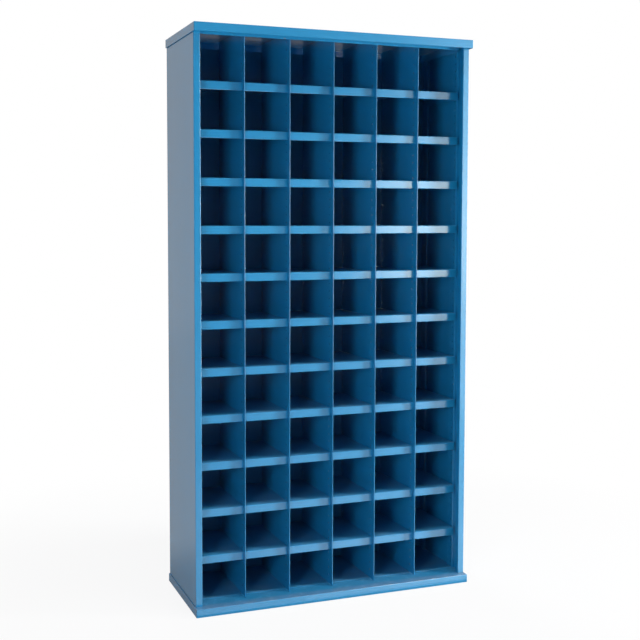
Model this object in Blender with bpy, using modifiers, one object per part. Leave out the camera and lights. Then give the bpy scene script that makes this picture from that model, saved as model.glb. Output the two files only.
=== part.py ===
"""Bin cabinet: an open-fronted sheet-steel cabinet with twelve rows of six bins.

Metres, +Z up. The front faces -Y and the origin is on the floor, at the centre of the plan.
Every piece is folded from sheet, as the real one is: an open surface that is bent along its fold
lines and then thickened.
"""

import bmesh
import bpy
from mathutils import Vector

# Driving dimensions

COLUMNS = 6
ROWS = 12
COLUMN_PITCH = 0.151
PERFORATION_PITCH = 0.025
PERFORATIONS_PER_ROW = 6
BOTTOM_ROW = 0.145            # top of the base to the top of the lowest shelf
TOP_ROW = 0.1648              # top of the highest shelf to the underside of the cap

CARCASS_SHEET = 0.0012
SHELF_SHEET = 0.001
CLEARANCE = 0.0003            # between pieces that touch
FOLD_RADIUS = 0.0016
FOLD_SEGMENTS = 2
SHELF_FOLD_SEGMENTS = 1

TRAY_FLANGE = 0.027           # height of the cap and of the base
TRAY_SIDE_OVERHANG = 0.0035
TRAY_FRONT_OVERHANG = 0.021   # leaves room for a pair of doors in front of the posts
TRAY_REAR_OVERHANG = 0.0015
BASE_RETURN = 0.022           # flange under the base that stands on the floor

POST_FACE = 0.0215            # front face of a side panel
POST_RETURN = 0.015
REAR_FLANGE = 0.020
BACK_RECESS = 0.031           # back panel to the rear of the side panels

UPRIGHT_WIDTH = 0.036
UPRIGHT_HEIGHT = 0.0080       # web of an upright off the side panel
FRONT_UPRIGHT_SETBACK = 0.034  # behind the front edges of the dividers

DIVIDER_SETBACK = 0.031       # behind the front faces of the posts
DIVIDER_DEPTH = 0.283
HEM_WIDTH = 0.010             # front edge of a divider is folded back on itself
HEM_THICKNESS = 0.0024

HOLE_SIZE = 0.005             # square perforations in the dividers and the front uprights
HOLE_END_MARGIN = 0.012       # sheet left above the lowest hole and below the highest
DIVIDER_HOLE_SETBACK = 0.033  # behind the front edge of a divider
DIVIDER_HOLE_RISE = 0.010     # above the top of a shelf
UPRIGHT_HOLE_SETBACK = 0.010  # behind the front of an upright
UPRIGHT_HOLE_RISE = -0.0015

LIP_SETBACK = 0.019           # behind the front edges of the dividers
LIP_HEIGHT = 0.0262
LIP_RETURN = 0.008
LIP_NOTCH = 0.0095            # lip stops this far short of the dividers
LIP_END_GAP = 0.0345          # lip stops this far short of the uprights
HEADER_HEIGHT = 0.0275       # front lip of the top panel, in front of the dividers
HEADER_ADVANCE = 0.008
HEADER_END_GAP = 0.003        # header stops this far short of the posts
REAR_LIP_HEIGHT = 0.018
REAR_LIP_GAP = 0.001          # clears the dividers at the inside of the fold
CORNER_RELIEF = 0.003
FLOOR_SETBACK = 0.030         # front edge of the bottom shelf, behind the dividers' front edges

ENAMEL_BLUE = (0.027, 0.216, 0.456, 1.0)
ENAMEL_ROUGHNESS = 0.28

# Sizes that follow

ROW_PITCH = PERFORATIONS_PER_ROW * PERFORATION_PITCH
HALF_OPENING = COLUMNS * COLUMN_PITCH / 2
HALF_BODY = HALF_OPENING + POST_FACE
HALF_TRAY = HALF_BODY + TRAY_SIDE_OVERHANG
SKIN_INSIDE = HALF_BODY - CARCASS_SHEET
SKIN_SEAT = SKIN_INSIDE - CLEARANCE
UPRIGHT_FACE = SKIN_SEAT - UPRIGHT_HEIGHT
SHELF_END = UPRIGHT_FACE - CLEARANCE
LIP_END = UPRIGHT_FACE - LIP_END_GAP
HEADER_END = HALF_OPENING - HEADER_END_GAP

FRONT_TO_DIVIDER = TRAY_FRONT_OVERHANG + DIVIDER_SETBACK
FRONT_TO_BACK_PANEL = FRONT_TO_DIVIDER + DIVIDER_DEPTH + REAR_LIP_GAP + SHELF_SHEET + CLEARANCE
DEPTH = FRONT_TO_BACK_PANEL + BACK_RECESS + TRAY_REAR_OVERHANG
TRAY_FRONT = -DEPTH / 2
TRAY_REAR = DEPTH / 2
POST_FRONT = TRAY_FRONT + TRAY_FRONT_OVERHANG
DIVIDER_FRONT = POST_FRONT + DIVIDER_SETBACK
DIVIDER_REAR = DIVIDER_FRONT + DIVIDER_DEPTH
LIP_FRONT = DIVIDER_FRONT + LIP_SETBACK
HEADER_FRONT = DIVIDER_FRONT - HEADER_ADVANCE
SHELF_REAR = DIVIDER_REAR + REAR_LIP_GAP + SHELF_SHEET
BACK_FRONT = SHELF_REAR + CLEARANCE
SIDE_REAR = BACK_FRONT + BACK_RECESS
HALF_LAP = (LIP_FRONT + DIVIDER_REAR) / 2

BODY_BOTTOM = TRAY_FLANGE + CLEARANCE
FLOOR_TOP = BODY_BOTTOM + CARCASS_SHEET
CAP_UNDERSIDE = TRAY_FLANGE + BOTTOM_ROW + (ROWS - 2) * ROW_PITCH + TOP_ROW
BODY_TOP = CAP_UNDERSIDE - CLEARANCE
HEIGHT = CAP_UNDERSIDE + CARCASS_SHEET
DIVIDER_BOTTOM = FLOOR_TOP + CLEARANCE
DIVIDER_TOP = BODY_TOP - SHELF_SHEET - CLEARANCE
SLOT_HALF_WIDTH = SHELF_SHEET / 2 + CLEARANCE


def divider_x(index):
    """Place of a divider across the cabinet, counted from 1 at the left."""
    return (index - COLUMNS / 2) * COLUMN_PITCH


def shelf_top(level):
    """Height of a shelf's upper face, counted from 1 at the bottom."""
    return TRAY_FLANGE + BOTTOM_ROW + (level - 1) * ROW_PITCH


def clear_scene():
    for old in list(bpy.data.objects):
        bpy.data.objects.remove(old, do_unlink=True)


def new_collection(name):
    collection = bpy.data.collections.new(name)
    bpy.context.scene.collection.children.link(collection)
    return collection


def enamel():
    material = bpy.data.materials.new("blue_enamel")
    material.use_nodes = True
    shader = material.node_tree.nodes["Principled BSDF"]
    shader.inputs["Base Color"].default_value = ENAMEL_BLUE
    shader.inputs["Roughness"].default_value = ENAMEL_ROUGHNESS
    shader.inputs["Metallic"].default_value = 0.0
    material.diffuse_color = ENAMEL_BLUE
    return material


def place(name, mesh, collection):
    obj = bpy.data.objects.new(name, mesh)
    collection.objects.link(obj)
    return obj


def finish(obj, material, parent):
    obj.data.materials.clear()
    obj.data.materials.append(material)
    obj.parent = parent
    return obj


def mesh_from(name, bm):
    mesh = bpy.data.meshes.new(name)
    bm.to_mesh(mesh)
    bm.free()
    return mesh


def thicken(obj, sheet, offset=-1.0):
    """Give an open surface its sheet thickness, on the side its faces turn away from."""
    wall = obj.modifiers.new("sheet", "SOLIDIFY")
    wall.thickness = sheet
    wall.offset = offset
    wall.use_even_offset = True
    return wall


def round_folds(bm, edges, segments):
    bmesh.ops.bevel(bm, geom=edges, offset=FOLD_RADIUS, segments=segments,
                    profile=0.5, affect="EDGES", offset_type="OFFSET")


def loop_edges(bm, points, closed):
    verts = [bm.verts.new(point) for point in points]
    pairs = list(zip(verts, verts[1:]))
    if closed:
        pairs.append((verts[-1], verts[0]))
    return verts, [bm.edges.new(pair) for pair in pairs]


def bent_strip(name, plan, bottom, top, sheet, collection):
    """A sheet folded along upright lines: plan runs along its outer face, which is on its right."""
    bm = bmesh.new()
    verts, edges = loop_edges(bm, [Vector((x, y, bottom)) for x, y in plan], closed=False)
    raised = bmesh.ops.extrude_edge_only(bm, edges=edges)["geom"]
    bmesh.ops.translate(bm, vec=Vector((0, 0, top - bottom)),
                        verts=[item for item in raised if isinstance(item, bmesh.types.BMVert)])
    first = edges[0].link_faces[0]
    first.normal_update()
    along = verts[1].co - verts[0].co
    bmesh.ops.recalc_face_normals(bm, faces=bm.faces[:])
    if first.normal.dot(along.cross(Vector((0, 0, 1)))) < 0:
        bmesh.ops.reverse_faces(bm, faces=bm.faces[:])
    folds = [edge for edge in bm.edges if len(edge.link_faces) == 2]
    round_folds(bm, folds, FOLD_SEGMENTS)
    obj = place(name, mesh_from(name, bm), collection)
    thicken(obj, sheet)
    return obj


def mirrored(plan):
    """The same folded plan for the other side of the cabinet."""
    return [(-x, y) for x, y in reversed(plan)]


def side_panel_plan():
    return [
        (HALF_OPENING, POST_FRONT + POST_RETURN),
        (HALF_OPENING, POST_FRONT),
        (HALF_BODY, POST_FRONT),
        (HALF_BODY, SIDE_REAR),
        (HALF_BODY - REAR_FLANGE, SIDE_REAR),
    ]


def upright_plan(front):
    return [
        (SKIN_SEAT, front + UPRIGHT_WIDTH),
        (UPRIGHT_FACE, front + UPRIGHT_WIDTH),
        (UPRIGHT_FACE, front),
        (SKIN_SEAT, front),
    ]


def back_panel_plan():
    flange_end = SIDE_REAR - CARCASS_SHEET - CLEARANCE
    return [
        (-SKIN_SEAT, flange_end),
        (-SKIN_SEAT, BACK_FRONT),
        (SKIN_SEAT, BACK_FRONT),
        (SKIN_SEAT, flange_end),
    ]


def tray(name, bottom, top, return_width, collection):
    """A folded tray, open below; a return turns in along the lower edges where one is wanted."""
    bm = bmesh.new()
    bmesh.ops.create_cube(bm, size=1.0)
    bmesh.ops.scale(bm, vec=Vector((2 * HALF_TRAY, DEPTH, top - bottom)), verts=bm.verts[:])
    bmesh.ops.translate(bm, vec=Vector((0, 0, (bottom + top) / 2)), verts=bm.verts[:])
    underside = min(bm.faces, key=lambda face: face.calc_center_median().z)
    if return_width > 0:
        bmesh.ops.inset_individual(bm, faces=[underside], thickness=return_width)
    bmesh.ops.delete(bm, geom=[underside], context="FACES_ONLY")
    folds = [edge for edge in bm.edges
             if len(edge.link_faces) == 2 and edge.calc_face_angle() > 0.1]
    round_folds(bm, folds, FOLD_SEGMENTS)
    obj = place(name, mesh_from(name, bm), collection)
    thicken(obj, CARCASS_SHEET)
    return obj


def shelf_outline(front, lip_end, slot_rear):
    """Corner points of a shelf's plate, anticlockwise from the left end of its front lip.

    The dividers' slots are open at the front and reach back to slot_rear, where there are any.
    """
    relief = CORNER_RELIEF
    step = LIP_FRONT + relief
    end_front = step + relief
    end_rear = SHELF_REAR - relief
    points = [(-lip_end, step), (-lip_end, front)]
    if slot_rear > front:
        for index in range(1, COLUMNS):
            middle = divider_x(index)
            for side in (-1, 1):
                slot = middle + side * SLOT_HALF_WIDTH
                notch = middle + side * LIP_NOTCH
                corners = [(notch, front), (notch, step), (slot, step), (slot, slot_rear)]
                points += corners if side < 0 else corners[::-1]
    points += [
        (lip_end, front), (lip_end, step),
        (SHELF_END - relief, step), (SHELF_END - relief, end_front),
        (SHELF_END, end_front), (SHELF_END, end_rear),
        (SHELF_END - relief, end_rear), (SHELF_END - relief, SHELF_REAR),
        (relief - SHELF_END, SHELF_REAR), (relief - SHELF_END, end_rear),
        (-SHELF_END, end_rear), (-SHELF_END, end_front),
        (relief - SHELF_END, end_front), (relief - SHELF_END, step),
    ]
    return points


def fold_down(bm, edges, *steps):
    """Turn flanges along edges: each step is a vector that the sheet runs on by."""
    folds = list(edges)
    current = list(edges)
    for step in steps:
        grown = bmesh.ops.extrude_edge_only(bm, edges=current)["geom"]
        bmesh.ops.translate(bm, vec=Vector(step),
                            verts=[item for item in grown if isinstance(item, bmesh.types.BMVert)])
        current = [item for item in grown if isinstance(item, bmesh.types.BMEdge)
                   and len(item.link_faces) == 1
                   and abs(item.verts[0].co.z - item.verts[1].co.z) < CLEARANCE
                   and not is_flange_end(item, step)]
        folds += current
    return [edge for edge in folds if edge.is_valid and len(edge.link_faces) == 2]


def is_flange_end(edge, step):
    """True for the short edge that a fold leaves at the end of a flange, along the fold's own step."""
    along = (edge.verts[1].co - edge.verts[0].co).normalized()
    return abs(along.dot(Vector(step).normalized())) > 0.9


def folded_pan(name, top, outline, flanges, collection):
    """A plate with flanges turned down along straight lines of its outline.

    Each flange is an axis, the place of its line on that axis, and the vectors that its sheet runs on by.
    """
    bm = bmesh.new()
    edges = loop_edges(bm, [Vector((x, y, top)) for x, y in outline], closed=True)[1]
    plate = bmesh.ops.contextual_create(bm, geom=edges)["faces"][0]
    plate.normal_update()
    if plate.normal.z < 0:
        bmesh.ops.reverse_faces(bm, faces=[plate])
    folds = []
    for axis, value, steps in flanges:
        line = [edge for edge in edges
                if all(abs(vert.co[axis] - value) < CLEARANCE for vert in edge.verts)]
        folds += fold_down(bm, line, *steps)
    round_folds(bm, folds, SHELF_FOLD_SEGMENTS)
    obj = place(name, mesh_from(name, bm), collection)
    thicken(obj, SHELF_SHEET)
    return obj


def shelf(level, collection):
    """A shelf with a hemmed lip between the dividers, flanges at its ends and a lip behind them."""
    down = Vector((0, 0, -LIP_HEIGHT))
    flanges = [
        (1, LIP_FRONT, [down, Vector((0, LIP_RETURN, 0))]),
        (0, SHELF_END, [down]),
        (0, -SHELF_END, [down]),
        (1, SHELF_REAR, [Vector((0, 0, -REAR_LIP_HEIGHT))]),
    ]
    outline = shelf_outline(LIP_FRONT, LIP_END, HALF_LAP + CLEARANCE)
    return folded_pan("shelf_%02d" % level, shelf_top(level), outline, flanges, collection)


def top_panel(collection):
    """The ceiling of the top row, whose front lip is the header over the dividers."""
    down = Vector((0, 0, -HEADER_HEIGHT))
    flanges = [
        (1, HEADER_FRONT, [down]),
        (0, SHELF_END, [down]),
        (0, -SHELF_END, [down]),
    ]
    outline = shelf_outline(HEADER_FRONT, HEADER_END, HEADER_FRONT)
    return folded_pan("top_panel", BODY_TOP, outline, flanges, collection)


def divider_outline():
    """Corner points of a divider in depth and height, with the shelves' slots open at the rear."""
    points = [(DIVIDER_FRONT, DIVIDER_BOTTOM), (DIVIDER_REAR, DIVIDER_BOTTOM)]
    slot_front = HALF_LAP - CLEARANCE
    for level in range(1, ROWS):
        upper = shelf_top(level) + CLEARANCE
        lower = shelf_top(level) - SHELF_SHEET - CLEARANCE
        points += [(DIVIDER_REAR, lower), (slot_front, lower), (slot_front, upper), (DIVIDER_REAR, upper)]
    points += [(DIVIDER_REAR, DIVIDER_TOP), (DIVIDER_FRONT, DIVIDER_TOP)]
    return points


def block(name, low, high, collection):
    """A plain box between two corners."""
    bm = bmesh.new()
    bmesh.ops.create_cube(bm, size=1.0)
    low = Vector(low)
    high = Vector(high)
    bmesh.ops.scale(bm, vec=high - low, verts=bm.verts[:])
    bmesh.ops.translate(bm, vec=(low + high) / 2, verts=bm.verts[:])
    return place(name, mesh_from(name, bm), collection)


def as_tool(obj):
    obj.hide_render = True
    obj.display_type = "WIRE"
    return obj


def hole_heights(bottom, top, rise):
    """Heights of a column of perforations, at the shelves' pitch and keeping its ends of sheet."""
    datum = shelf_top(1) + rise
    lowest = bottom + HOLE_END_MARGIN
    highest = top - HOLE_END_MARGIN
    first = datum - PERFORATION_PITCH * int((datum - lowest) / PERFORATION_PITCH)
    count = int((highest - first) / PERFORATION_PITCH) + 1
    return [first + PERFORATION_PITCH * number for number in range(count)]


def perforation_tool(name, x, y, reach, heights, tools):
    """Square punches through a sheet that faces along X, one at each height."""
    bm = bmesh.new()
    for height in heights:
        made = bmesh.ops.create_cube(bm, size=1.0)["verts"]
        bmesh.ops.scale(bm, vec=Vector((2 * reach, HOLE_SIZE, HOLE_SIZE)), verts=made)
        bmesh.ops.translate(bm, vec=Vector((x, y, height)), verts=made)
    return as_tool(place(name, mesh_from(name, bm), tools))


def combine(obj, name, operation, tool):
    step = obj.modifiers.new(name, "BOOLEAN")
    step.operation = operation
    step.solver = "EXACT"
    step.object = tool
    return step


def front_upright(side, plan, tools, collection):
    """An upright whose web is perforated for the shelves' hooks."""
    name = ("left" if side < 0 else "right") + "_front_upright"
    obj = bent_strip(name, plan, BODY_BOTTOM, BODY_TOP, SHELF_SHEET, collection)
    hole_y = min(y for x, y in plan) + UPRIGHT_HOLE_SETBACK
    heights = hole_heights(BODY_BOTTOM, BODY_TOP, UPRIGHT_HOLE_RISE)
    reach = UPRIGHT_HEIGHT / 2
    punches = perforation_tool(name + "_punches", side * UPRIGHT_FACE, hole_y, reach, heights, tools)
    combine(obj, "perforations", "DIFFERENCE", punches)
    return obj


def divider_mesh(tools):
    """One divider at the middle of the cabinet: a slotted, perforated plate with its front edge hemmed."""
    bm = bmesh.new()
    points = [Vector((0, y, z)) for y, z in divider_outline()]
    edges = loop_edges(bm, points, closed=True)[1]
    bmesh.ops.contextual_create(bm, geom=edges)
    blank = as_tool(place("divider_blank", mesh_from("divider_blank", bm), tools))
    thicken(blank, SHELF_SHEET, offset=0.0)
    half_hem = HEM_THICKNESS / 2
    hem = as_tool(block("divider_hem", (-half_hem, DIVIDER_FRONT, DIVIDER_BOTTOM),
                        (half_hem, DIVIDER_FRONT + HEM_WIDTH, DIVIDER_TOP), tools))
    combine(blank, "hem", "UNION", hem)
    heights = hole_heights(DIVIDER_BOTTOM, DIVIDER_TOP, DIVIDER_HOLE_RISE)
    punches = perforation_tool("divider_punches", 0.0, DIVIDER_FRONT + DIVIDER_HOLE_SETBACK, HEM_THICKNESS,
                               heights, tools)
    combine(blank, "perforations", "DIFFERENCE", punches)
    depsgraph = bpy.context.evaluated_depsgraph_get()
    return bpy.data.meshes.new_from_object(blank.evaluated_get(depsgraph))


def bottom_shelf(collection):
    obj = block("bottom_shelf", (-SHELF_END, DIVIDER_FRONT + FLOOR_SETBACK, BODY_BOTTOM),
                (SHELF_END, SHELF_REAR, FLOOR_TOP), collection)
    soften = obj.modifiers.new("edge", "BEVEL")
    soften.width = CARCASS_SHEET / 4
    soften.segments = 1
    return obj


def build():
    clear_scene()
    cabinet = new_collection("bin_cabinet")
    tools = new_collection("tools")
    paint = enamel()
    root = bpy.data.objects.new("bin_cabinet", None)
    cabinet.objects.link(root)
    front_plan = upright_plan(DIVIDER_FRONT + FRONT_UPRIGHT_SETBACK)
    rear_plan = upright_plan(SHELF_REAR - UPRIGHT_WIDTH)

    pieces = [
        tray("base_tray", 0.0, TRAY_FLANGE, BASE_RETURN, cabinet),
        tray("top_cap", HEIGHT - TRAY_FLANGE, HEIGHT, 0.0, cabinet),
        bent_strip("right_side_panel", side_panel_plan(), BODY_BOTTOM, BODY_TOP, CARCASS_SHEET, cabinet),
        bent_strip("left_side_panel", mirrored(side_panel_plan()), BODY_BOTTOM, BODY_TOP, CARCASS_SHEET,
                   cabinet),
        bent_strip("back_panel", back_panel_plan(), BODY_BOTTOM, HEIGHT - TRAY_FLANGE, CARCASS_SHEET,
                   cabinet),
        bottom_shelf(cabinet),
        front_upright(1, front_plan, tools, cabinet),
        front_upright(-1, mirrored(front_plan), tools, cabinet),
        bent_strip("right_rear_upright", rear_plan, BODY_BOTTOM, BODY_TOP, SHELF_SHEET, cabinet),
        bent_strip("left_rear_upright", mirrored(rear_plan), BODY_BOTTOM, BODY_TOP, SHELF_SHEET, cabinet),
    ]
    pieces += [shelf(level, cabinet) for level in range(1, ROWS)]
    pieces.append(top_panel(cabinet))
    blank = divider_mesh(tools)
    for index in range(1, COLUMNS):
        piece = place("divider_%d" % index, blank, cabinet)
        piece.location.x = divider_x(index)
        pieces.append(piece)
    for piece in pieces:
        finish(piece, paint, root)


build()
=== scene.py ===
"""Bin cabinet in blue enamelled sheet steel: finishes, dividers, shelves, rivets, light and camera."""

import math

import bmesh
import bpy
from mathutils import Euler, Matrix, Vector


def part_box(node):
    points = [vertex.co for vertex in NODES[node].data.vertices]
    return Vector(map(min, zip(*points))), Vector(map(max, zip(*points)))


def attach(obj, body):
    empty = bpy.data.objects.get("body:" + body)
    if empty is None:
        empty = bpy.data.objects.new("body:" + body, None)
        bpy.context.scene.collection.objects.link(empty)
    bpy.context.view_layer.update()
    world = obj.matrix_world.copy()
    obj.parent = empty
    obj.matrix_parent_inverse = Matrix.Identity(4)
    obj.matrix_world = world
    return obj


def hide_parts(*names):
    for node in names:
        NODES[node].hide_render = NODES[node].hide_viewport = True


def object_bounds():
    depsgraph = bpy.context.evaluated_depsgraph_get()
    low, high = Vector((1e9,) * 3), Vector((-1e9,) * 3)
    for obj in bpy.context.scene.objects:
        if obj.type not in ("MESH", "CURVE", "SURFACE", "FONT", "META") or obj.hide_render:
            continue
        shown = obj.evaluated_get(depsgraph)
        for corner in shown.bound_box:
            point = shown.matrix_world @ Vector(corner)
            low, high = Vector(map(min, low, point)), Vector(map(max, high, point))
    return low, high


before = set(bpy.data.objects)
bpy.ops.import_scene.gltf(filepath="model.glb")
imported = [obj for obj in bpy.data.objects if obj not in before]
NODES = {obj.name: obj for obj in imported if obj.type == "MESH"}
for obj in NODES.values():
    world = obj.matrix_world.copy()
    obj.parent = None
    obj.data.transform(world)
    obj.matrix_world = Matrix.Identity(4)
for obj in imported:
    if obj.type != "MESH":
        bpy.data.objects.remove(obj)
CAD_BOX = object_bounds()

# Colours, linear

ENAMEL_BLUE = (0.010, 0.230, 0.448)
ENAMEL_SHADE = (0.008, 0.216, 0.428)
ENAMEL_RUBBED = (0.030, 0.290, 0.520)
BARE_STEEL = (0.200, 0.205, 0.210)
DUST = (0.34, 0.36, 0.38)
# dark blue painted shade on the walls of the perforations
PAINTED_HOLE_SHADE = (0.004, 0.030, 0.060)
# a paler grey blue for painted highlights and reflections, partly rubbed paint
SHEEN_AND_WEAR_GREY = (0.27, 0.33, 0.43)
WHITE = (1.0, 1.0, 1.0)
FLOOR_GREY = (0.80, 0.80, 0.80)
FILL_COLOUR = (0.90, 0.95, 1.12)
SOFTBOX_COLOUR = (1.0, 0.93, 0.74)

# Sizes of the cabinet, in metres

COLUMNS = 6
ROWS = 12
COLUMN_PITCH = 0.151
ROW_PITCH = 0.150
LOWEST_SHELF_TOP = 0.172
SHEET = 0.001
BACK_SHEET = 0.0012
CLEARANCE = 0.0003
TRAY_FLANGE = 0.027
LIP_HEIGHT = 0.0262
REAR_LIP_HEIGHT = 0.018
MERGE_DISTANCE = 1e-6

# Dividers

HEM_WIDTH = 0.010
HEM_THICKNESS = 0.0024
HEM_ROUNDING = 0.45           # radius of the hem's corners, as a share of its thickness
HEM_CORNER_POINTS = 4
HOLE_SIZE = 0.005
HOLE_CORNER = 0.0013
HOLE_CORNER_POINTS = 2
HOLE_PITCH = 0.025
FRONT_HOLES_SETBACK = 0.033
FRONT_HOLES_RISE = 0.010      # above the top of a shelf
FRONT_HOLES = 71
REAR_HOLES_SETBACK = 0.0102   # in front of the back panel
REAR_HOLES_RISE = 0.0225      # half a pitch above the front ones
REAR_HOLES_PER_ROW = 5
BACK_PANEL_GAP = 0.0002
REAR_LIP_ROOM = 0.0015        # cut below a shelf's rear lip
UPRIGHT_HOLES_SETBACK = 0.010  # behind the front of an upright

# Ends of the shelves' front lips, from the middle of a divider and from the middle of the cabinet

SHORT_LIP_GAP = 0.0095
LONG_LIP_GAP = 0.0011
SHORT_LIP_END = 0.4305
LONG_LIP_END = 0.4612
SAME_PLACE = 0.0002
DIVIDER_REACH = 0.4           # no divider stands further out

# Rivets that hold the shelves' rear lips to the back panel

RIVET_WIDTH = 0.0064
RIVET_HEIGHT = 0.0011
RIVET_SEGMENTS = 12
RIVET_RINGS = 6

# Paint: scales of noise are per metre, widths in metres, and pairs run from none of a mark to all of it

TONE_SCALE = 1.7
PATCH_SCALE = 38.0
DUST_SCALE = 9.0
WIPE_SCALE = 6.0
WIPE_STRETCH = (1.0, 1.0, 0.35)
PEEL_SCALE = 240.0
PEEL_STRENGTH = 0.05
PEEL_DEPTH = 0.0003
MIDDLING = (0.35, 0.65)
RUBBED_PATCHES = (0.50, 0.70)
CHIPPED_PATCHES = (0.71, 0.74)
DUSTY_PATCHES = (0.35, 0.70)
RUBBED_WIDTH = (0.0026, 0.0006)
CHIPPED_WIDTH = (0.0014, 0.0004)
# around a column of holes whose walls get painted shade
HOLE_SHADE_WIDTH = (0.0035, 0.0030)
RUBBED_SHARE = 0.55
FACING_UP = (0.55, 0.95)
FACING_ALONG = (0.6, 0.3)     # share of a normal that points across the cabinet
CARCASS_DUST = 0.12
SHELF_DUST = 0.20
LEAST_DUST = 0.4
ROUGHNESS = 0.42
WIPED_ROUGHNESS = 0.06
DUST_ROUGHNESS = 0.30
DUST_ON_COAT = 0.6
RUBBING_ON_COAT = 0.3
COAT_ROUGHNESS = 0.20
COAT_IOR = 1.5
SPECULAR_LEVEL = 0.15

# Painted highlights and reflections, partly rubbed paint

LEAST_SHEEN_AND_WEAR = 0.5
# Painted reflection, partly rubbed paint, on a strip along the base's front fold
BASE_SHEEN_AND_WEAR = 0.42
BASE_SHEEN_AND_WEAR_RISE = (0.0020, 0.0008)
BASE_SHEEN_AND_WEAR_DEPTH = (0.042, 0.014)
# Painted highlight along the dividers' hems, in a band at the softbox's height, partly rubbed paint
HEM_HIGHLIGHT_AND_WEAR = 0.50
HEM_HIGHLIGHT_DEPTH = (0.0030, 0.0008)
HEM_HIGHLIGHT_SETS_IN = (0.45, 1.05)
HEM_HIGHLIGHT_FADES = (1.40, 1.65)
HEM_HIGHLIGHT_LOST = 0.6

# Room: levels in reflections, and the directions between which they set in

DIM_LEVEL = 0.06
LOW_LEVEL = 0.36
LOW_BAND = (0.10, -0.10)
HIGH_LEVEL = 0.40
HIGH_BAND = (0.12, 0.17)
WINDOW_LEVEL = 2.6
WINDOW_BAND = (0.37, 0.62)
BEHIND_LEVEL = 0.62
BEHIND_BAND = (-0.15, 0.15)
EVEN_LEVEL = 0.04

# Floor

FLOOR_HALF = 8.0
FLOOR_WHITE = 0.90            # share of white beside the cabinet, all of it far away
FAR_BAND = (0.6, 4.0)         # squares of distances from the cabinet's middle
# In reflections the floor is dimmed, most of all next to the cabinet, where this is a painted shadow
MIRRORED_LOSS = 0.70
MIRRORED_GAIN = 0.24          # regained away from the cabinet
PAINTED_SHADOW_BAND = (-0.02, 0.5)

# Lamps

SOFTBOX_AIM = (0.2, -0.15, 1.17)

# Camera

IMAGE_WIDTH = 640
FOCAL_PIXELS = 1060.77
SENSOR_MM = 36.0
LENS_SHIFT_X = 0.02636
LENS_SHIFT_Y = -0.05386
CAMERA_PLACE = (-1.30898, -3.32714, 1.24843)
CAMERA_DIP = 0.06403
CAMERA_ROLL = -0.00155
CAMERA_TURN = -0.36017

CABINET_LOW, CABINET_HIGH = (Vector(corner) for corner in CAD_BOX)
DIVIDER_LOW, DIVIDER_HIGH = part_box("divider_1")
POST_LOW, POST_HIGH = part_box("right_side_panel")
BACK_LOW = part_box("back_panel")[0]
SHELF_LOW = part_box("shelf_01")[0]
UPRIGHT_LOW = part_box("right_front_upright")[0]


def shelf_top(level):
    return LOWEST_SHELF_TOP + ROW_PITCH * (level - 1)


class Value:
    """One output of a node, which takes part in sums with numbers and with other outputs."""

    def __init__(self, graph, socket):
        self.graph = graph
        self.socket = socket

    def math(self, operation, *others):
        inputs = dict(enumerate((self,) + others))
        return self.graph.node("ShaderNodeMath", {"operation": operation}, inputs)

    def __add__(self, other):
        return self.math("ADD", other)

    __radd__ = __add__

    def __mul__(self, other):
        return self.math("MULTIPLY", other)

    __rmul__ = __mul__

    def __sub__(self, other):
        return self.math("SUBTRACT", other)

    def __rsub__(self, other):
        return (self * -1.0) + other

    def __abs__(self):
        return self.math("ABSOLUTE")

    def wrap(self, low, high):
        return self.math("WRAP", high, low)

    def least(self, other):
        return self.math("MINIMUM", other)

    def most(self, other):
        return self.math("MAXIMUM", other)

    def at_least(self, low):
        """A share from 0 to 1, squeezed into the range from low to 1."""
        return low + (1.0 - low) * self

    def ramp(self, low, high):
        """0 below low, 1 above high and smooth between; the other way round where low is the larger."""
        settings = {"interpolation_type": "SMOOTHSTEP", "clamp": True}
        if low < high:
            span = {"From Min": low, "From Max": high, "To Min": 0.0, "To Max": 1.0}
        else:
            span = {"From Min": high, "From Max": low, "To Min": 1.0, "To Max": 0.0}
        return self.graph.node("ShaderNodeMapRange", settings, {"Value": self, **span})


class Graph:
    """The nodes of one material, of the world or of a geometry tree."""

    def __init__(self, tree):
        self.tree = tree
        tree.nodes.clear()

    def node(self, kind, settings=None, inputs=None, output=0):
        made = self.tree.nodes.new(kind)
        for name, setting in (settings or {}).items():
            setattr(made, name, setting)
        for name, value in (inputs or {}).items():
            self.feed(self.find(made.inputs, name), value)
        return Value(self, made.outputs[output]) if made.outputs else None

    def find(self, sockets, name):
        if isinstance(name, int):
            return sockets[name]
        for socket in sockets:
            if socket.identifier == name:
                return socket
        return sockets[name]

    def feed(self, socket, value):
        if isinstance(value, Value):
            self.tree.links.new(value.socket, socket)
        elif isinstance(value, list):
            for item in value:
                self.tree.links.new(item.socket, socket)
        elif isinstance(value, tuple) and len(value) == 3 and socket.type == "RGBA":
            socket.default_value = value + (1.0,)
        else:
            socket.default_value = value

    def vector(self, x=0.0, y=0.0, z=0.0):
        return self.node("ShaderNodeCombineXYZ", None, {"X": x, "Y": y, "Z": z})

    def parts(self, vector):
        return [self.node("ShaderNodeSeparateXYZ", None, {0: vector}, output=axis) for axis in range(3)]

    def blend(self, factor, first, second):
        """A colour that goes from first to second."""
        inputs = {"Factor_Float": factor, "A_Color": first, "B_Color": second}
        return self.node("ShaderNodeMix", {"data_type": "RGBA"}, inputs, output=2)

    def noise(self, where, scale, detail=3.0, roughness=0.5, stretch=(1.0, 1.0, 1.0)):
        spread = self.node("ShaderNodeMapping", None, {"Vector": where, "Scale": stretch})
        inputs = {"Vector": spread, "Scale": scale, "Detail": detail, "Roughness": roughness}
        return self.node("ShaderNodeTexNoise", {"noise_dimensions": "3D"}, inputs)

    def is_ray(self, kind):
        """1 for light paths of one kind, such as Camera or Glossy."""
        return self.node("ShaderNodeLightPath", output="Is %s Ray" % kind)


# Objects and meshes

def new_object(name, data):
    obj = bpy.data.objects.new(name, data)
    bpy.context.scene.collection.objects.link(obj)
    return obj


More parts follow.
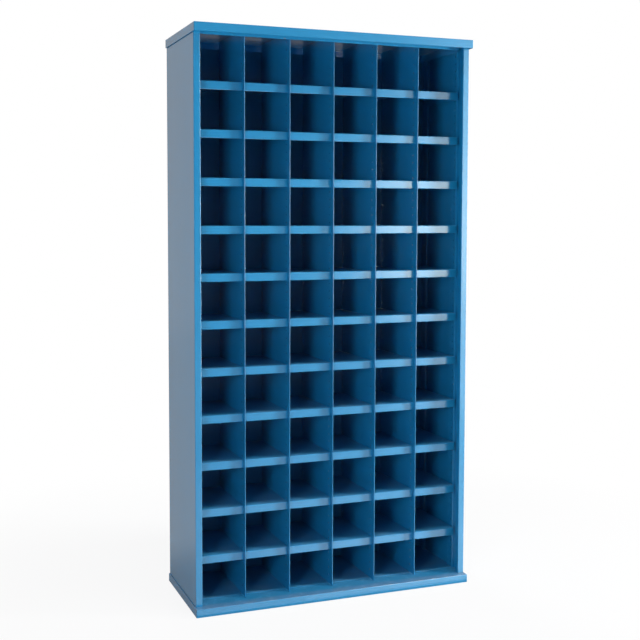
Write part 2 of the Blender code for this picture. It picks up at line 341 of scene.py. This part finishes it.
def mesh_from(bm, name):
    mesh = bpy.data.meshes.new(name)
    bm.to_mesh(mesh)
    bm.free()
    return mesh


def dress(obj, material):
    obj.data.materials.clear()
    obj.data.materials.append(material)


# Enamel

def new_material(name):
    material = bpy.data.materials.new(name)
    material.use_nodes = True
    return material, Graph(material.node_tree)


def carcass_edges(x, y, z):
    """Distance to the folds of the cap and the base and to the front corners of the side panels."""
    tray_fold = abs(z - TRAY_FLANGE).least(abs(z - (CABINET_HIGH.z - TRAY_FLANGE)))
    tray_corner = abs(abs(x) - CABINET_HIGH.x).most(abs(y - CABINET_LOW.y))
    post_corner = abs(abs(x) - POST_HIGH.x).most(abs(y - POST_LOW.y))
    return tray_fold.least(tray_corner).least(post_corner)


def shelf_edges(x, y, z):
    """Distance to the upper fold and the lower fold of a shelf's front lip; the bottom shelf has none."""
    rise = (z - LOWEST_SHELF_TOP).wrap(-ROW_PITCH / 2, ROW_PITCH / 2)
    below = LOWEST_SHELF_TOP - ROW_PITCH / 2 - z
    return abs(rise).least(abs(rise + LIP_HEIGHT)).most(abs(y - SHELF_LOW.y)).most(below)


def divider_edges(x, y, z):
    """Distance to the hemmed front edge."""
    return abs(y - DIVIDER_LOW.y)


def upright_edges(x, y, z):
    """Distance to the folds beside the side panels."""
    return abs(abs(x) - UPRIGHT_LOW.x)


def divider_hole_shade(x, y, z):
    """Distance in depth to a divider's front column of holes, whose walls get painted shade."""
    return abs(y - (DIVIDER_LOW.y + FRONT_HOLES_SETBACK))


def upright_hole_shade(x, y, z):
    """Distance in depth to a front upright's column of holes, whose walls get painted shade."""
    return abs(y - (UPRIGHT_LOW.y + UPRIGHT_HOLES_SETBACK))


def base_sheen_and_wear(x, y, z):
    """Where the ledge of the base is paler along its front fold: partly paint dulled by feet and boxes,
    partly a painted reflection.
    """
    on_ledge = abs(z - TRAY_FLANGE).ramp(*BASE_SHEEN_AND_WEAR_RISE)
    return BASE_SHEEN_AND_WEAR * on_ledge * (y - CABINET_LOW.y).ramp(*BASE_SHEEN_AND_WEAR_DEPTH)


def hem_highlight_and_wear(x, y, z):
    """Painted highlight, partly rubbed paint: the dividers' hemmed front edges are paler and greyer in a
    band at the softbox's height, most of all at chest height.
    """
    reach = z.ramp(*HEM_HIGHLIGHT_SETS_IN) * (1.0 - HEM_HIGHLIGHT_LOST * z.ramp(*HEM_HIGHLIGHT_FADES))
    return HEM_HIGHLIGHT_AND_WEAR * reach * abs(y - DIVIDER_LOW.y).ramp(*HEM_HIGHLIGHT_DEPTH)


def enamel(name, edges, dust, shaded_holes=None, sheen_and_wear=None):
    """Glossy stoved enamel on sheet steel, a little rubbed along the folds and dusty where it lies flat;
    given places also carry painted shade in holes and painted highlights that are partly rubbed paint.
    """
    material, graph = new_material(name)
    where = graph.node("ShaderNodeTexCoord", output="Object")
    x, y, z = graph.parts(where)
    tone = graph.noise(where, TONE_SCALE, detail=2.0)
    colour = graph.blend(tone.ramp(*MIDDLING), ENAMEL_SHADE, ENAMEL_BLUE)

    along_fold = edges(x, y, z)
    patches = graph.noise(where, PATCH_SCALE, detail=4.0, roughness=0.6)
    rubbed = along_fold.ramp(*RUBBED_WIDTH) * patches.ramp(*RUBBED_PATCHES)
    chipped = along_fold.ramp(*CHIPPED_WIDTH) * patches.ramp(*CHIPPED_PATCHES)
    colour = graph.blend(RUBBED_SHARE * rubbed, colour, ENAMEL_RUBBED)
    colour = graph.blend(chipped, colour, BARE_STEEL)
    # Painted highlights and reflections, partly rubbed paint, in a paler grey blue where the given mask
    # says
    if sheen_and_wear:
        sheen_and_wear_share = sheen_and_wear(x, y, z) * patches.ramp(*MIDDLING).at_least(LEAST_SHEEN_AND_WEAR)
        colour = graph.blend(sheen_and_wear_share, colour, SHEEN_AND_WEAR_GREY)

    normal = graph.node("ShaderNodeNewGeometry", output="Normal")
    upward = graph.parts(normal)[2].ramp(*FACING_UP)
    dusty = graph.noise(where, DUST_SCALE, detail=5.0).ramp(*DUSTY_PATCHES)
    settled = upward * dusty.at_least(LEAST_DUST) * dust
    colour = graph.blend(settled, colour, DUST)
    # Painted shade: the walls of the holes are coloured dark, so that the holes look as dark as the shaded
    # space behind them
    if shaded_holes:
        true_normal = graph.node("ShaderNodeNewGeometry", output="True Normal")
        along = abs(graph.parts(true_normal)[0]).ramp(*FACING_ALONG)
        hole_shade_share = along * shaded_holes(x, y, z).ramp(*HOLE_SHADE_WIDTH)
        colour = graph.blend(hole_shade_share, colour, PAINTED_HOLE_SHADE)

    wiped = graph.noise(where, WIPE_SCALE, detail=4.0, stretch=WIPE_STRETCH)
    peel = graph.noise(where, PEEL_SCALE, detail=1.0)
    bump = graph.node("ShaderNodeBump", None, {
        "Strength": PEEL_STRENGTH,
        "Distance": PEEL_DEPTH,
        "Height": peel,
    })
    shader = graph.node("ShaderNodeBsdfPrincipled", None, {
        "Base Color": colour,
        "Roughness": ROUGHNESS + WIPED_ROUGHNESS * wiped + DUST_ROUGHNESS * settled,
        "Specular IOR Level": SPECULAR_LEVEL,
        "Coat Weight": 1.0 - DUST_ON_COAT * settled - RUBBING_ON_COAT * rubbed,
        "Coat Roughness": COAT_ROUGHNESS,
        "Coat IOR": COAT_IOR,
        "Normal": bump,
    })
    graph.node("ShaderNodeOutputMaterial", None, {"Surface": shader})
    return material


# Repeated shapes

def geometry_tree(name, kinds):
    """A new tree with one named input for each size; returns its graph and those inputs."""
    tree = bpy.data.node_groups.new(name, "GeometryNodeTree")
    graph = Graph(tree)
    tree.interface.new_socket("Geometry", in_out="OUTPUT", socket_type="NodeSocketGeometry")
    tree.interface.new_socket("Geometry", in_out="INPUT", socket_type="NodeSocketGeometry")
    for label, kind in kinds.items():
        tree.interface.new_socket(label, in_out="INPUT", socket_type="NodeSocket" + kind)
    entry = tree.nodes.new("NodeGroupInput")
    sizes = {socket.name: Value(graph, socket) for socket in entry.outputs if socket.name}
    return graph, sizes


def close_tree(graph, geometry, material):
    realized = graph.node("GeometryNodeRealizeInstances", None, {"Geometry": geometry})
    painted = graph.node("GeometryNodeSetMaterial", None, {"Geometry": realized, "Material": material})
    graph.node("NodeGroupOutput", None, {"Geometry": painted})


def join(graph, *pieces):
    return graph.node("GeometryNodeJoinGeometry", None, {"Geometry": list(reversed(pieces))})


def moved(graph, geometry, **changes):
    inputs = {name.capitalize(): change for name, change in changes.items()}
    return graph.node("GeometryNodeTransform", None, {"Geometry": geometry, **inputs})


def row_of(graph, shape, start, step, count):
    inputs = {"Count": count, "Start Location": start, "Offset": step}
    points = graph.node("GeometryNodeMeshLine", {"mode": "OFFSET"}, inputs)
    return graph.node("GeometryNodeInstanceOnPoints", None, {"Points": points, "Instance": shape})


def rounded_oblong(graph, width, height, radius, count):
    inputs = {"Width": width, "Height": height}
    flat = graph.node("GeometryNodeCurvePrimitiveQuadrilateral", None, inputs)
    inputs = {"Curve": flat, "Count": count, "Radius": radius}
    return graph.node("GeometryNodeFilletCurve", {"mode": "POLY"}, inputs)


def plate(graph, outline, thickness):
    """A closed solid from flat outlines, raised by its thickness; an outline inside another is a hole."""
    face = graph.node("GeometryNodeFillCurve", {"mode": "TRIANGLES"}, {"Curve": outline})
    inputs = {"Mesh": face, "Offset Scale": thickness, "Individual": False}
    raised = graph.node("GeometryNodeExtrudeMesh", {"mode": "FACES"}, inputs)
    under = graph.node("GeometryNodeFlipFaces", None, {"Mesh": face})
    inputs = {"Geometry": join(graph, raised, under), "Distance": MERGE_DISTANCE}
    return graph.node("GeometryNodeMergeByDistance", None, inputs)


def divider_tree():
    """A slotted sheet with two columns of perforations and a hemmed front edge, standing across X."""
    graph, size = geometry_tree("perforated_divider", {
        "Place": "Float", "Sheet": "Float", "Front": "Float", "Bottom": "Float", "Height": "Float",
        "Hem width": "Float", "Hem thickness": "Float", "Hole": "Float", "Hole corner": "Float",
        "Hole pitch": "Float", "Row pitch": "Float", "Rows": "Int",
        "Front column": "Vector", "Front holes": "Int",
        "Rear column": "Vector", "Rear holes per row": "Int",
        "Enamel": "Material",
    })
    hole = rounded_oblong(graph, size["Hole"], size["Hole"], size["Hole corner"], HOLE_CORNER_POINTS)
    hole_step = graph.vector(y=size["Hole pitch"])
    front = row_of(graph, hole, size["Front column"], hole_step, size["Front holes"])
    one_row = row_of(graph, hole, size["Rear column"], hole_step, size["Rear holes per row"])
    rear = row_of(graph, one_row, graph.vector(), graph.vector(y=size["Row pitch"]), size["Rows"])
    holes = graph.node("GeometryNodeRealizeInstances", None, {"Geometry": join(graph, front, rear)})
    outline = graph.node("GeometryNodeMeshToCurve", None, {"Mesh": size["Geometry"]})
    sheet = plate(graph, join(graph, outline, holes), size["Sheet"])
    upended = moved(graph, sheet, rotation=(math.pi / 2, 0.0, math.pi / 2),
                    translation=graph.vector(x=size["Sheet"] * -0.5))
    hem_radius = size["Hem thickness"] * HEM_ROUNDING
    fold = rounded_oblong(graph, size["Hem thickness"], size["Hem width"], hem_radius, HEM_CORNER_POINTS)
    hem = moved(graph, plate(graph, fold, size["Height"]),
                translation=graph.vector(y=size["Front"] + size["Hem width"] * 0.5, z=size["Bottom"]))
    placed = moved(graph, join(graph, upended, hem), translation=graph.vector(x=size["Place"]))
    close_tree(graph, placed, size["Enamel"])
    return graph.tree


def rivet_tree():
    """Domed rivet heads in rows and columns on a sheet that faces along Y."""
    graph, size = geometry_tree("rivet_heads", {
        "First": "Vector", "Across": "Float", "Across count": "Int", "Up": "Float", "Up count": "Int",
        "Width": "Float", "Height": "Float", "Enamel": "Material",
    })
    inputs = {"Segments": RIVET_SEGMENTS, "Rings": RIVET_RINGS, "Radius": 0.5}
    ball = graph.node("GeometryNodeMeshUVSphere", None, inputs)
    smooth = graph.node("GeometryNodeSetShadeSmooth", None, {"Geometry": ball, "Shade Smooth": True})
    head = moved(graph, smooth, scale=graph.vector(size["Width"], size["Height"] * 2.0, size["Width"]))
    across = row_of(graph, head, size["First"], graph.vector(x=size["Across"]), size["Across count"])
    every = row_of(graph, across, graph.vector(), graph.vector(z=size["Up"]), size["Up count"])
    close_tree(graph, every, size["Enamel"])
    return graph.tree


def grow(name, tree, sizes, blank):
    """The plain mesh that a tree makes from a blank, as an object at the origin."""
    maker = new_object(name + "_blank", blank)
    modifier = maker.modifiers.new("shape", "NODES")
    modifier.node_group = tree
    for item in tree.interface.items_tree:
        if item.in_out == "INPUT" and item.name in sizes:
            modifier[item.identifier] = sizes[item.name]
    depsgraph = bpy.context.evaluated_depsgraph_get()
    mesh = bpy.data.meshes.new_from_object(maker.evaluated_get(depsgraph))
    mesh.name = name
    maker.modifiers.clear()
    bpy.data.objects.remove(maker)
    return new_object(name, mesh)


def divider_blank():
    """Outline of a divider's sheet in depth and height, slotted for the shelves from the rear."""
    front = DIVIDER_LOW.y + HEM_WIDTH / 2
    rear = BACK_LOW.y - BACK_PANEL_GAP
    half_lap = (SHELF_LOW.y + DIVIDER_HIGH.y) / 2 - CLEARANCE
    points = [(front, DIVIDER_LOW.z), (rear, DIVIDER_LOW.z)]
    for level in range(1, ROWS):
        upper = shelf_top(level) + CLEARANCE
        lower = shelf_top(level) - SHEET - CLEARANCE
        below_lip = shelf_top(level) - REAR_LIP_HEIGHT - REAR_LIP_ROOM
        points += [(rear, below_lip), (DIVIDER_HIGH.y, below_lip), (DIVIDER_HIGH.y, lower)]
        points += [(half_lap, lower), (half_lap, upper), (rear, upper)]
    points += [(rear, DIVIDER_HIGH.z), (front, DIVIDER_HIGH.z)]
    mesh = bpy.data.meshes.new("divider_blank")
    count = len(points)
    edges = [(index, (index + 1) % count) for index in range(count)]
    mesh.from_pydata([(depth, height, 0.0) for depth, height in points], edges, [])
    return mesh


def perforated_dividers(paint):
    """The dividers, with rounded perforations, a rear column of them too, and hemmed front edges."""
    tree = divider_tree()
    row_bottom = LOWEST_SHELF_TOP - ROW_PITCH
    front_column = (DIVIDER_LOW.y + FRONT_HOLES_SETBACK, row_bottom + FRONT_HOLES_RISE + HOLE_PITCH, 0.0)
    rear_column = (BACK_LOW.y - REAR_HOLES_SETBACK, row_bottom + REAR_HOLES_RISE, 0.0)
    sizes = {
        "Sheet": SHEET,
        "Front": DIVIDER_LOW.y,
        "Bottom": DIVIDER_LOW.z,
        "Height": DIVIDER_HIGH.z - DIVIDER_LOW.z,
        "Hem width": HEM_WIDTH,
        "Hem thickness": HEM_THICKNESS,
        "Hole": HOLE_SIZE,
        "Hole corner": HOLE_CORNER,
        "Hole pitch": HOLE_PITCH,
        "Row pitch": ROW_PITCH,
        "Rows": ROWS,
        "Front column": front_column,
        "Front holes": FRONT_HOLES,
        "Rear column": rear_column,
        "Rear holes per row": REAR_HOLES_PER_ROW,
        "Enamel": paint,
    }
    for index in range(1, COLUMNS):
        sizes["Place"] = COLUMN_PITCH * (index - COLUMNS / 2)
        piece = grow("perforated_divider_%d" % index, tree, sizes, divider_blank())
        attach(piece, "root")
        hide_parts("divider_%d" % index)


def lengthened(x):
    """Place across the cabinet of a lip's end, which runs on to the divider or the upright beside it."""
    if abs(abs(x) - SHORT_LIP_END) < SAME_PLACE:
        return math.copysign(LONG_LIP_END, x)
    middle = COLUMN_PITCH * round(x / COLUMN_PITCH)
    if abs(middle) < DIVIDER_REACH and abs(abs(x - middle) - SHORT_LIP_GAP) < SAME_PLACE:
        return middle + math.copysign(LONG_LIP_GAP, x - middle)
    return x


def long_lipped_shelves(paint):
    """The shelves, with front lips that fill the width between the dividers and up to the uprights."""
    for level in range(1, ROWS):
        node = "shelf_%02d" % level
        bm = bmesh.new()
        bm.from_mesh(NODES[node].data)
        bmesh.ops.remove_doubles(bm, verts=bm.verts[:], dist=MERGE_DISTANCE)
        for vertex in bm.verts:
            vertex.co.x = lengthened(vertex.co.x)
        name = "long_lipped_" + node
        piece = new_object(name, mesh_from(bm, name))
        dress(piece, paint)
        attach(piece, "root")
        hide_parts(node)


def back_rivets(paint):
    """Rivet heads on the back panel, one behind the middle of each bin at every shelf."""
    first = (-COLUMN_PITCH * (COLUMNS - 1) / 2, BACK_LOW.y + BACK_SHEET,
             LOWEST_SHELF_TOP - REAR_LIP_HEIGHT / 2)
    sizes = {
        "First": first,
        "Across": COLUMN_PITCH,
        "Across count": COLUMNS,
        "Up": ROW_PITCH,
        "Up count": ROWS - 1,
        "Width": RIVET_WIDTH,
        "Height": RIVET_HEIGHT,
        "Enamel": paint,
    }
    piece = grow("back_rivets", rivet_tree(), sizes, bpy.data.meshes.new("rivet_blank"))
    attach(piece, "root")


# Studio

def area_light(name, place, target, size, power, glossy=True, diffuse=True,
               shape="RECTANGLE", colour=WHITE):
    lamp = bpy.data.lights.new(name, "AREA")
    lamp.shape = shape
    lamp.size, lamp.size_y = size
    lamp.energy = power
    lamp.color = colour
    obj = new_object(name, lamp)
    obj.location = place
    obj.rotation_euler = (Vector(target) - Vector(place)).to_track_quat("-Z", "Y").to_euler()
    obj.visible_glossy = glossy
    obj.visible_diffuse = diffuse
    obj.visible_camera = False


def softbox(name, place, size, power):
    """A rounded lamp in front of the cabinet, on the right, for the highlights on the enamel."""
    area_light(name, place, SOFTBOX_AIM, size, power, diffuse=False,
               shape="ELLIPSE", colour=SOFTBOX_COLOUR)


def floor_light(name, place, size, power):
    """A lamp that lies on the floor and brightens its mirror image in the enamel."""
    above = (place[0], place[1], 1.0)
    area_light(name, place, above, size, power, diffuse=False)


def studio_world():
    """White to the camera; in reflections a dim room, pale behind the cabinet; otherwise low and even."""
    world = bpy.data.worlds.new("studio")
    world.use_nodes = True
    bpy.context.scene.world = world
    graph = Graph(world.node_tree)
    seen = graph.is_ray("Camera").most(graph.is_ray("Transmission"))
    reflected = graph.is_ray("Glossy")
    right, away, up = graph.parts(graph.node("ShaderNodeTexCoord", output="Generated"))
    room = DIM_LEVEL + LOW_LEVEL * up.ramp(*LOW_BAND) + HIGH_LEVEL * up.ramp(*HIGH_BAND)
    room = room + WINDOW_LEVEL * right.ramp(*WINDOW_BAND)
    behind = away.ramp(*BEHIND_BAND)
    mirrored = room * (1.0 - behind) + BEHIND_LEVEL * behind
    other = reflected * mirrored + (1.0 - reflected) * EVEN_LEVEL
    strength = seen + (1.0 - seen) * other
    sky = graph.node("ShaderNodeBackground", None, {"Color": WHITE, "Strength": strength})
    graph.node("ShaderNodeOutputWorld", None, {"Surface": sky})


def studio_floor():
    """A matte floor that takes the cabinet's shadow, white to the camera and grey in the enamel, with a
    painted shadow next to the cabinet in its reflections.
    """
    bm = bmesh.new()
    bmesh.ops.create_grid(bm, x_segments=1, y_segments=1, size=FLOOR_HALF)
    floor = new_object("studio_floor", mesh_from(bm, "studio_floor"))
    material, graph = new_material("studio_floor")
    matte = graph.node("ShaderNodeBsdfDiffuse", None, {"Color": FLOOR_GREY})
    reflected = graph.is_ray("Glossy")
    x, y, z = graph.parts(graph.node("ShaderNodeTexCoord", output="Object"))
    afar = (x * x + y * y).ramp(*FAR_BAND)
    # Painted shadow: next to the cabinet the floor is darker in reflections
    clear_of_painted_shadow = (abs(x) - CABINET_HIGH.x).most(abs(y) - CABINET_HIGH.y).ramp(*PAINTED_SHADOW_BAND)
    strength = 1.0 - (MIRRORED_LOSS - MIRRORED_GAIN * clear_of_painted_shadow) * reflected
    glow = graph.node("ShaderNodeEmission", None, {"Color": WHITE, "Strength": strength})
    white = (graph.is_ray("Camera") * afar.at_least(FLOOR_WHITE)).most(reflected)
    mixed = graph.node("ShaderNodeMixShader", None, {0: white, 1: matte, 2: glow})
    graph.node("ShaderNodeOutputMaterial", None, {"Surface": mixed})
    dress(floor, material)


def light_studio():
    studio_world()
    studio_floor()
    softbox("softbox", (1.94, -3.45, 1.17), size=(0.66, 1.10), power=17.5)
    softbox("softbox_edge", (2.32, -3.50, 1.17), size=(1.00, 2.60), power=24.5)
    area_light("key", (3.0, -1.6, 1.15), (0.0, -0.15, 1.05), size=(0.6, 2.2), power=138.0)
    area_light("fill", (-2.15, -2.63, 1.30), (0.0, -0.15, 1.0), size=(0.7, 0.9), power=41.5,
               glossy=False, colour=FILL_COLOUR)
    floor_light("pale_sweep", (0.5, -1.045, 0.004), size=(3.2, 1.70), power=20.9)
    floor_light("pale_sweep_far", (0.5, -4.20, 0.004), size=(3.2, 2.6), power=3.0)
    floor_light("pale_sweep_right", (1.5, -2.85, 0.006), size=(2.6, 5.3), power=22.0)
    floor_light("pale_sweep_near", (0.6, -0.48, 0.008), size=(1.4, 0.56), power=1.7)
    floor_light("pale_sweep_edge", (0.0, -0.235, 0.008), size=(0.94, 0.10), power=0.14)
    area_light("back_light", (0.0, 3.20, 1.10), (0.0, 0.0, 1.10), size=(0.9, 1.4), power=62.0,
               glossy=False)
    area_light("overhead", (0.2, -1.25, 6.0), (0.2, -0.2, 0.5), size=(1.6, 0.8), power=135.0,
               glossy=False)
    floor_light("pale_sweep_bright", (2.2, -3.30, 0.008), size=(1.1, 1.3), power=13.0)


def photo_camera():
    data = bpy.data.cameras.new("photo_camera")
    data.sensor_fit = "HORIZONTAL"
    data.sensor_width = SENSOR_MM
    data.lens = FOCAL_PIXELS * SENSOR_MM / IMAGE_WIDTH
    data.shift_x = LENS_SHIFT_X
    data.shift_y = LENS_SHIFT_Y
    camera = new_object("photo_camera", data)
    camera.location = CAMERA_PLACE
    camera.rotation_euler = Euler((math.pi / 2 - CAMERA_DIP, CAMERA_ROLL, CAMERA_TURN))
    bpy.context.scene.camera = camera


def finish_for(name, paints):
    for kind in ("shelf", "divider", "upright"):
        if kind in name:
            return paints[kind]
    return paints["carcass"]


def main():
    bpy.context.scene.view_settings.view_transform = "Standard"
    paints = {
        "carcass": enamel("carcass_enamel", carcass_edges, CARCASS_DUST, sheen_and_wear=base_sheen_and_wear),
        "shelf": enamel("shelf_enamel", shelf_edges, SHELF_DUST),
        "divider": enamel("divider_enamel", divider_edges, 0.0, divider_hole_shade, hem_highlight_and_wear),
        "upright": enamel("upright_enamel", upright_edges, 0.0, upright_hole_shade),
    }
    for name, node in NODES.items():
        dress(node, finish_for(name, paints))
    perforated_dividers(paints["divider"])
    long_lipped_shelves(paints["shelf"])
    back_rivets(paints["carcass"])
    light_studio()
    photo_camera()


main()
